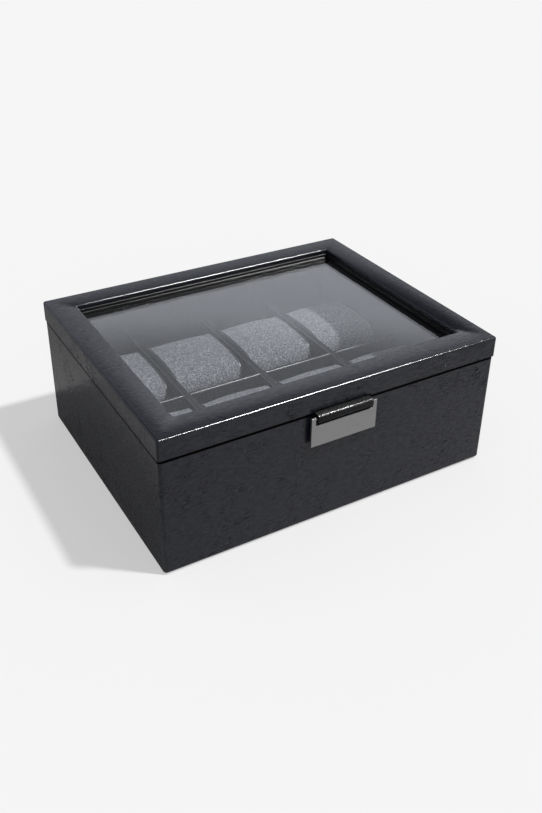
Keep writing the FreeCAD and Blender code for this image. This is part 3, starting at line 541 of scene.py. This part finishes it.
def brushed_metal(name, tint, grain, low, high):
    """Brushed plated metal: fine lines along the grain and faint handling marks."""
    finish = Finish(name)
    lines = finish.noise(finish.millimetres(grain), size=0.16, detail=3.0, rough=0.6)
    marks = finish.noise(finish.millimetres(), size=6.0, detail=4.0, rough=0.6)
    dark = toned(tint, 0.88)
    finish.shade(
        Base_Color=finish.mix(finish.ramp(lines, 0.3, 0.7), dark, tint),
        Metallic=1.0,
        Roughness=finish.ramp(marks, 0.3, 0.7, start=low, end=high),
    )
    finish.bump(lines, depth=0.012, strength=0.5)
    return finish.material


def dress(node, material):
    """Gives a CAD node its finish."""
    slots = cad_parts[node].data.materials
    slots.clear()
    slots.append(material)


def deselect():
    """Leaves no object selected."""
    for other in bpy.context.selected_objects:
        other.select_set(False)


def alone(piece):
    """Makes a piece the only selected object and the active one."""
    deselect()
    piece.select_set(True)
    bpy.context.view_layer.objects.active = piece
    return piece


def new_from_node(name, node):
    """A new piece that starts as a merged copy of a CAD node's mesh."""
    piece = bpy.data.objects.new(name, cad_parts[node].data.copy())
    bpy.context.scene.collection.objects.link(piece)
    alone(piece)
    bpy.ops.object.mode_set(mode="EDIT")
    bpy.ops.mesh.select_all(action="SELECT")
    bpy.ops.mesh.remove_doubles(threshold=MERGE)
    bpy.ops.object.mode_set(mode="OBJECT")
    return piece


def added(name):
    """Names the primitive that was just added."""
    piece = bpy.context.active_object
    piece.name = name
    piece.data.name = name
    return alone(piece)


def apply_modifier(piece, kind, **settings):
    """Adds a modifier with its settings and applies it."""
    alone(piece)
    modifier = piece.modifiers.new(kind.lower(), kind)
    for key, value in settings.items():
        setattr(modifier, key, value)
    bpy.ops.object.modifier_apply(modifier=modifier.name)


def round_edges(piece, width):
    """Rounds a piece's sharp edges over a width."""
    apply_modifier(piece, "BEVEL", width=width, segments=ROUND_STEPS,
                   limit_method="ANGLE", angle_limit=SHARP)


def select_edges(piece, wanted):
    """In edit mode, selects only the edges that pass a test."""
    bpy.ops.mesh.select_mode(type="EDGE")
    bpy.ops.mesh.select_all(action="DESELECT")
    mesh = bmesh.from_edit_mesh(piece.data)
    for edge in mesh.edges:
        if wanted(edge):
            edge.select_set(True)
    mesh.select_flush_mode()
    bmesh.update_edit_mesh(piece.data)


def spin_on(turn, steps, centre):
    """Turns the selected edge on round an axis along X, leaving a curved strip behind it."""
    bpy.ops.mesh.spin(steps=steps, angle=-turn, center=centre, axis=(1, 0, 0))


def settle(piece, material, body, slot, *nodes):
    """Finishes a new piece: one material, its place in its mesh, its body and what it stands for."""
    alone(piece)
    bpy.ops.object.transform_apply(location=True, rotation=True, scale=True)
    piece.data.materials.clear()
    piece.data.materials.append(material)
    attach(piece, body)
    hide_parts(*nodes)


def shade_soft(piece, degrees):
    """Smooth shading, with edges kept where faces meet at more than an angle."""
    alone(piece)
    bpy.ops.object.shade_smooth_by_angle(angle=math.radians(degrees))


class WATCHBOX_OT_stage(Operator):
    """Set the pale floor, the studio light and the camera"""
    bl_idname = "watchbox.stage"
    bl_label = "Stage"

    def execute(self, context):
        stage = context.scene.watch_box_stage
        context.scene.view_settings.view_transform = "Standard"
        self.lay_floor(stage)
        self.paint_studio(context, stage)
        self.hang_key(context, stage)
        self.hang_strip(context, stage)
        self.place_camera(context, stage)
        return {"FINISHED"}

    def lay_floor(self, stage):
        """A pale floor that stays fairly bright in shadow, with a pool of light that only gloss mirrors."""
        finish = Finish("pale_floor")
        finish.shade(Roughness=1.0, Specular_IOR_Level=0.0)
        looked_at = finish.add("ShaderNodeLightPath", {}, "Is Camera Ray")
        mirrored = finish.add("ShaderNodeLightPath", {}, "Is Glossy Ray")
        place = finish.add("ShaderNodeNewGeometry", {}, "Position")
        away = finish.add("ShaderNodeVectorMath", {0: place, 1: stage.pool}, "Value", operation="DISTANCE")
        pool = finish.ramp(away, stage.pool_near, stage.pool_far, start=1.0, end=stage.pool_faint)
        pooled = finish.mix(pool, (0, 0, 0), stage.floor)
        finish.shade(Base_Color=finish.mix(mirrored, stage.floor, pooled))
        glow = finish.add("ShaderNodeEmission", {"Color": opaque(stage.floor), "Strength": 1.0})
        share = finish.product(looked_at, stage.floor_glow)
        both = {0: share, 1: finish.surface.outputs[0], 2: glow}
        finish.show(finish.add("ShaderNodeMixShader", both))
        deselect()
        bpy.ops.mesh.primitive_plane_add(size=FLOOR_SIZE, location=(0, 0, -FLOOR_DROP))
        floor = added("floor")
        floor.data.materials.append(finish.material)

    def paint_studio(self, context, stage):
        """Even soft light all round, and a studio wall that gloss and glass can mirror."""
        world = bpy.data.worlds.new("studio")
        context.scene.world = world
        world.use_nodes = True
        world.cycles.sampling_method = "NONE"
        world.node_tree.nodes.clear()
        nodes = Nodes(world.node_tree)
        towards = nodes.add("ShaderNodeTexCoord", {}, "Generated")
        height = nodes.axis(towards, "Z")
        low, grey, top, dark = (math.sin(rise) for rise in (stage.wall_low, stage.wall_high,
                                                            stage.upper_high, stage.ceiling_low))
        lower = nodes.ramp(height, low, grey, start=1.0, end=stage.upper)
        upper = nodes.ramp(height, top, dark, start=1.0, end=stage.ceiling)
        level = nodes.product(lower, upper)
        tinted = nodes.add("ShaderNodeVectorMath", {0: stage.wall, "Scale": level}, operation="SCALE")
        path = nodes.tree.nodes.new("ShaderNodeLightPath").outputs
        bounced = nodes.math("MAXIMUM", path["Is Glossy Ray"], path["Is Transmission Ray"])
        direct = nodes.math("LESS_THAN", path["Diffuse Depth"], 0.5)
        gloss = nodes.product(bounced, direct)
        even = nodes.add("ShaderNodeBackground", {"Color": (1, 1, 1, 1), "Strength": stage.sky})
        mirrored = nodes.add("ShaderNodeBackground", {"Color": tinted, "Strength": stage.wall_level})
        seen = nodes.add("ShaderNodeBackground", {"Color": opaque(stage.floor), "Strength": 1.0})
        lit = nodes.add("ShaderNodeMixShader", {0: gloss, 1: even, 2: mirrored})
        shown = nodes.add("ShaderNodeMixShader", {0: path["Is Camera Ray"], 1: lit, 2: seen})
        nodes.add("ShaderNodeOutputWorld", {"Surface": shown}, None)

    def hang(self, context, light, towards, distance=0.0):
        """Hangs a lamp in a direction, so that it shines on the box."""
        lamp = bpy.data.objects.new(light.name, light)
        towards = Vector(towards).normalized()
        lamp.location = towards * distance
        lamp.rotation_euler = towards.to_track_quat("Z", "Y").to_euler()
        context.scene.collection.objects.link(lamp)
        return lamp

    def hang_key(self, context, stage):
        """The sun-like light that casts the shadow."""
        key = bpy.data.lights.new("key", "SUN")
        key.energy = stage.key
        key.angle = stage.key_angle
        self.hang(context, key, stage.key_from)

    def hang_strip(self, context, stage):
        """A long narrow lamp that draws highlights on the edges of a few pieces and lights nothing else."""
        strip = bpy.data.lights.new("strip", "AREA")
        strip.shape = "RECTANGLE"
        strip.size = stage.strip_width
        strip.size_y = stage.strip_height
        strip.energy = stage.strip
        lamp = self.hang(context, strip, stage.strip_from, stage.strip_distance)
        lamp.visible_camera = False
        lamp.visible_diffuse = False
        lamp.visible_transmission = False
        edged = bpy.data.collections.new(EDGE_LIT)
        for node in EDGE_LIT_NODES:
            edged.objects.link(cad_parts[node])
        lamp.light_linking.receiver_collection = edged

    def place_camera(self, context, stage):
        """The camera that took the photo, as fitted to the box's edges."""
        flat = math.cos(stage.elevation)
        back = Vector((math.sin(stage.azimuth) * flat, -math.cos(stage.azimuth) * flat,
                       math.sin(stage.elevation)))
        right = (-back).cross(Vector((0, 0, 1))).normalized()
        up = right.cross(-back)
        across = math.cos(stage.roll) * right + math.sin(stage.roll) * up
        upwards = math.cos(stage.roll) * up - math.sin(stage.roll) * right
        data = bpy.data.cameras.new("photo_camera")
        data.sensor_width = SENSOR
        data.lens = stage.focal_pixels / PHOTO_LONG_SIDE * SENSOR
        data.shift_y = -stage.rise_pixels / PHOTO_LONG_SIDE
        data.clip_start = CAMERA_NEAR
        camera = bpy.data.objects.new("photo_camera", data)
        turn = Matrix((across, upwards, back)).transposed().to_4x4()
        camera.matrix_world = Matrix.Translation(Vector(stage.target) + stage.distance * back) @ turn
        context.scene.collection.objects.link(camera)
        context.scene.camera = camera


class WATCHBOX_OT_wraps(Operator):
    """Finish the leatherette of the case and the lid, and the boards beneath it"""
    bl_idname = "watchbox.wraps"
    bl_label = "Leatherette and boards"

    def execute(self, context):
        sizes = context.scene.watch_box_sizes
        tints = context.scene.watch_box_colours
        meeting = (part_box("base_wrap")[1].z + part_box("lid_wrap")[0].z) / 2
        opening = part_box("glazing_beads")[1]
        window = (opening.x, opening.y, sizes.pillow, sizes.pillow_drop)
        gloss = 0.52
        dress("base_wrap", leatherette("case_leatherette", tints.leather, sizes, gloss, meeting))
        dress("lid_wrap", leatherette("lid_leatherette", tints.leather, sizes, gloss, meeting, window))
        board = fibreboard("dark_fibreboard", tints.board)
        for node in BOARDS + RAILS + ["retainer_strips"]:
            dress(node, board)
        return {"FINISHED"}


class WATCHBOX_OT_window(Operator):
    """Finish the glass and the beads round it"""
    bl_idname = "watchbox.window"
    bl_label = "Window"

    def execute(self, context):
        tints = context.scene.watch_box_colours
        dress("glass_pane", window_glass("window_glass", tints.glass))
        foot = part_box("glazing_beads")[0].z
        lip = context.scene.watch_box_sizes.bead_lip
        dress("glazing_beads", satin_bead("black_bead", tints.bead, foot, lip))
        return {"FINISHED"}


class WATCHBOX_OT_inside(Operator):
    """Finish the lining cards and the dividers"""
    bl_idname = "watchbox.inside"
    bl_label = "Linings and dividers"

    def execute(self, context):
        tints = context.scene.watch_box_colours
        card = suede("charcoal_suede", tints.suede)
        for node in WALL_CARDS + ["floor_lining", "lid_lining"]:
            dress(node, card)
        wrap = divider_wrap("charcoal_wrap", tints.wrap, tints.rubbed_shine_and_painted_highlight, "Z", coat=0.2, softness=0.16)
        for node in DIVIDERS:
            dress(node, wrap)
        return {"FINISHED"}


class WATCHBOX_OT_cushions(Operator):
    """Puff one cushion pad as cloth and copy it to every compartment"""
    bl_idname = "watchbox.cushions"
    bl_label = "Cushions"

    def execute(self, context):
        sizes = context.scene.watch_box_sizes
        tints = context.scene.watch_box_colours
        tones = (tints.cloth, tints.cloth_dark, tints.cloth_pale)
        cloth = heathered_cloth("heathered_cloth", tones, sizes.fleck)
        cap = divider_wrap("cushion_end_wrap", tints.cap, tints.rubbed_shine_and_painted_highlight, "X", coat=0.3, softness=0.3)
        first = f"cushion_pad_{CUSHIONS[0]}"
        pattern = self.puffed_pad(context, sizes, first)
        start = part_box(first)[0]
        for name in CUSHIONS:
            node = f"cushion_pad_{name}"
            pad = bpy.data.objects.new(f"pad_{name}", pattern.data.copy())
            context.scene.collection.objects.link(pad)
            pad.data.transform(Matrix.Translation(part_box(node)[0] - start))
            self.vary(pad, pattern, sizes)
            if name.startswith("front"):
                self.fill_shoulder(pad, node, sizes.pad_shoulder)
            shade_soft(pad, 80)
            settle(pad, cloth, f"cushion_{name}", "cushion_fabric", node)
            dress(f"cushion_ends_{name}", cap)
        bpy.data.objects.remove(pattern)
        return {"FINISHED"}

    def puffed_pad(self, context, sizes, node):
        """Cloth over stuffing: made too long, held at the ends and the base, blown out gently between them,
        and trimmed square at its ends, where the end panels close it."""
        low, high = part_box(node)
        pad = new_from_node("pad_pattern", node)
        middle = (low + high) / 2
        spare = 4 * sizes.pad_voxel
        longer = 1.0 + spare / (high.x - low.x)
        pad.data.transform(Matrix.Translation(middle) @ Matrix.Diagonal((longer, 1, 1, 1))
                           @ Matrix.Translation(-middle))
        apply_modifier(pad, "REMESH", mode="VOXEL", voxel_size=sizes.pad_voxel)
        held = pad.vertex_groups.new(name="held")
        free = pad.vertex_groups.new(name="free")
        for vertex in pad.data.vertices:
            inward = min(vertex.co.x - low.x, high.x - vertex.co.x, vertex.co.z - low.z)
            weight = min(max(inward / sizes.pad_tuck, 0.0), 1.0)
            held.add([vertex.index], 1.0 - weight, "REPLACE")
            free.add([vertex.index], weight, "REPLACE")
            vertex.co -= vertex.normal * sizes.pad_slack * weight
        rest = [vertex.co.copy() for vertex in pad.data.vertices]
        self.blow_up(context, pad)
        for vertex, place in zip(pad.data.vertices, rest):
            moved = vertex.co - place
            if moved.length > sizes.pad_swell:
                vertex.co = place + moved.normalized() * sizes.pad_swell
        apply_modifier(pad, "SUBSURF", levels=1, render_levels=1)
        for end, outward in ((low.x, -1), (high.x, 1)):
            self.trim(pad, (end, middle.y, middle.z), (outward, 0, 0))
        return pad

    def trim(self, pad, place, outward):
        """Cuts a pad off square and closes the cut."""
        alone(pad)
        bpy.ops.object.mode_set(mode="EDIT")
        bpy.ops.mesh.select_all(action="SELECT")
        bpy.ops.mesh.bisect(plane_co=place, plane_no=outward, use_fill=True, clear_outer=True)
        bpy.ops.object.mode_set(mode="OBJECT")

    def blow_up(self, context, pad):
        """Runs the cloth with a little air pressure inside, and keeps its last shape."""
        cloth = pad.modifiers.new("cloth", "CLOTH")
        settings = cloth.settings
        settings.quality = 6
        settings.mass = 0.02
        settings.tension_stiffness = 12.0
        settings.compression_stiffness = 12.0
        settings.shear_stiffness = 6.0
        settings.bending_stiffness = 0.4
        settings.vertex_group_mass = "held"
        settings.use_pressure = True
        settings.uniform_pressure_force = 4.0
        settings.effector_weights.gravity = 0.0
        cloth.collision_settings.use_collision = False
        for moment in range(1, CLOTH_FRAMES + 1):
            context.scene.frame_set(moment)
        alone(pad)
        bpy.ops.object.modifier_apply(modifier="cloth")
        context.scene.frame_set(1)

    def fill_shoulder(self, pad, node, fullness):
        """Lifts the rear upper part of a pad, most at its rear edge and not at all at its crown."""
        low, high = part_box(node)
        middle = (low + high) / 2
        for vertex in pad.data.vertices:
            rearward = min(max((vertex.co.y - middle.y) / (high.y - middle.y), 0.0), 1.0)
            upward = min(max((vertex.co.z - middle.z) / (high.z - middle.z), 0.0), 1.0)
            vertex.co.z += fullness * rearward * math.sin(upward * math.pi / 2)

    def vary(self, pad, pattern, sizes):
        """A gentle unevenness that differs from place to place."""
        for group in pattern.vertex_groups:
            pad.vertex_groups.new(name=group.name)
        cloud = bpy.data.textures.new("pad_waver", "CLOUDS")
        cloud.noise_scale = sizes.waver_size
        apply_modifier(pad, "DISPLACE", texture=cloud, texture_coords="LOCAL", vertex_group="free",
                       strength=sizes.pad_waver, mid_level=0.5)


class WATCHBOX_OT_tab(Operator):
    """Fold the leather pull strap and finish the metal tab that hangs in it"""
    bl_idname = "watchbox.tab"
    bl_label = "Pull strap and tab"

    def execute(self, context):
        sizes = context.scene.watch_box_sizes
        tints = context.scene.watch_box_colours
        hide = pebbled_leather("strap_leather", tints.strap)
        strap = self.fold_strap(sizes)
        bpy.data.collections[EDGE_LIT].objects.link(strap)
        settle(strap, hide, "lid", "strap_leather", "pull_strap")
        metal = brushed_metal("satin_gunmetal", tints.gunmetal, grain=(30.0, 1.0, 1.0), low=0.40, high=0.48)
        dress("tab_plate", metal)
        return {"FINISHED"}

    def fold_strap(self, sizes):
        """A strip of leather: a tail under the lid, once round the tab's bar and back up to the tail."""
        low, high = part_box("pull_strap")
        plate_low, plate_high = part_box("tab_plate")
        thick = sizes.strap_thick
        loop_y = (plate_low.y + plate_high.y) / 2
        radius = loop_y - low.y - thick / 2
        tail_z = high.z - thick / 2
        bend_y = low.y + thick / 2 + sizes.strap_bend
        bend_z = tail_z - sizes.strap_bend
        upper_z = tail_z - radius
        lower_z = low.z + thick / 2 + radius
        turn = math.pi / 2
        closing = 0.6 * turn
        deselect()
        middle = ((low.x + high.x) / 2, (bend_y + high.y) / 2, tail_z)
        bpy.ops.mesh.primitive_plane_add(size=1.0, location=middle)
        strap = added("strap_folded")
        strap.scale = (high.x - low.x, high.y - bend_y, 1.0)
        bpy.ops.object.transform_apply(location=True, rotation=True, scale=True)
        bpy.ops.object.mode_set(mode="EDIT")
        select_edges(strap, lambda edge: all(abs(v.co.y - bend_y) < MERGE for v in edge.verts))
        spin_on(turn, BEND_STEPS, (0, bend_y, bend_z))
        bpy.ops.mesh.extrude_region_move(TRANSFORM_OT_translate={"value": (0, 0, lower_z - bend_z)})
        spin_on(2 * turn, 2 * BEND_STEPS, (0, loop_y, lower_z))
        bpy.ops.mesh.extrude_region_move(TRANSFORM_OT_translate={"value": (0, 0, upper_z - lower_z)})
        spin_on(closing, BEND_STEPS, (0, loop_y, upper_z))
        bpy.ops.mesh.select_all(action="SELECT")
        bpy.ops.mesh.remove_doubles(threshold=MERGE)
        bpy.ops.object.mode_set(mode="OBJECT")
        apply_modifier(strap, "SOLIDIFY", thickness=thick, offset=0.0, use_even_offset=True)
        round_edges(strap, sizes.strap_edge)
        shade_soft(strap, 50)
        return strap


class WATCHBOX_OT_hardware(Operator):
    """Finish the hinges and their pins, and cut the cross recesses of the screws"""
    bl_idname = "watchbox.hardware"
    bl_label = "Hinges and screws"

    def execute(self, context):
        sizes = context.scene.watch_box_sizes
        tints = context.scene.watch_box_colours
        nickel = brushed_metal("black_nickel", tints.nickel, grain=(12.0, 1.0, 1.0), low=0.28, high=0.38)
        for node in LEAVES + PINS:
            dress(node, nickel)
        base_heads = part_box("hinge_base_screws")[1].z
        lid_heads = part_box("hinge_lid_screws")[0].z
        for body, part, head in (("case", "base", base_heads), ("lid", "lid", lid_heads)):
            node = f"hinge_{part}_screws"
            screws = self.crossed_screws(f"{part}_screws", node, head, sizes)
            settle(screws, nickel, body, "hinge_metal", node)
        return {"FINISHED"}

    def crossed_screws(self, name, node, head, sizes):
        """A row of screws with a cross cut into each head, which faces up or down at a height."""
        row = new_from_node(name, node)
        bpy.ops.object.mode_set(mode="EDIT")
        bpy.ops.mesh.separate(type="LOOSE")
        bpy.ops.object.mode_set(mode="OBJECT")
        screws = list(bpy.context.selected_objects)
        for screw in screws:
            corners = [Vector(corner) for corner in screw.bound_box]
            middle = sum(corners, Vector()) / len(corners)
            for bar in ((sizes.recess_long, sizes.recess), (sizes.recess, sizes.recess_long)):
                self.cut_bar(screw, (middle.x, middle.y, head), (*bar, 2 * sizes.recess_deep))
        alone(row)
        for screw in screws:
            screw.select_set(True)
        bpy.ops.object.join()
        shade_soft(row, 30)
        return row

    def cut_bar(self, screw, place, size):
        """Cuts one bar of a cross out of a screw's head."""
        deselect()
        bpy.ops.mesh.primitive_cube_add(size=1.0, location=place)
        cutter = added("recess_cutter")
        cutter.scale = size
        apply_modifier(screw, "BOOLEAN", object=cutter, operation="DIFFERENCE", solver="EXACT")
        bpy.data.objects.remove(cutter)


class WATCHBOX_OT_felt(Operator):
    """Lay the felt sheet under the case"""
    bl_idname = "watchbox.felt"
    bl_label = "Felt underside"

    def execute(self, context):
        sizes = context.scene.watch_box_sizes
        tints = context.scene.watch_box_colours
        felt = new_from_node("felt_sheet", "base_pad")
        round_edges(felt, sizes.felt_edge)
        shade_soft(felt, 40)
        settle(felt, black_felt("black_felt", tints.felt), "case", "underside_felt", "base_pad")
        return {"FINISHED"}


OPERATORS = (
    WATCHBOX_OT_stage,
    WATCHBOX_OT_wraps,
    WATCHBOX_OT_window,
    WATCHBOX_OT_inside,
    WATCHBOX_OT_cushions,
    WATCHBOX_OT_tab,
    WATCHBOX_OT_hardware,
    WATCHBOX_OT_felt,
)


class WATCHBOX_PT_panel(Panel):
    """Lists the pieces of the watch box and their settings"""
    bl_idname = "WATCHBOX_PT_panel"
    bl_label = "Watch Box"
    bl_space_type = "VIEW_3D"
    bl_region_type = "UI"
    bl_category = "Watch Box"

    def draw(self, context):
        layout = self.layout
        for operator in OPERATORS:
            layout.operator(operator.bl_idname)
        scene = context.scene
        for group in (scene.watch_box_sizes, scene.watch_box_colours, scene.watch_box_stage):
            box = layout.box()
            for name in group.__annotations__:
                box.prop(group, name)


GROUPS = {
    "watch_box_sizes": WatchBoxSizes,
    "watch_box_colours": WatchBoxColours,
    "watch_box_stage": WatchBoxStage,
}
CLASSES = (*GROUPS.values(), *OPERATORS, WATCHBOX_PT_panel)


def register():
    for cls in CLASSES:
        bpy.utils.register_class(cls)
    for name, group in GROUPS.items():
        setattr(bpy.types.Scene, name, PointerProperty(type=group))


def unregister():
    for name in GROUPS:
        delattr(bpy.types.Scene, name)
    for cls in reversed(CLASSES):
        bpy.utils.unregister_class(cls)


def main():
    register()
    bpy.ops.watchbox.stage()
    bpy.ops.watchbox.wraps()
    bpy.ops.watchbox.window()
    bpy.ops.watchbox.inside()
    bpy.ops.watchbox.cushions()
    bpy.ops.watchbox.tab()
    bpy.ops.watchbox.hardware()
    bpy.ops.watchbox.felt()
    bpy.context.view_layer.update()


if __name__ == "__main__":
    main()
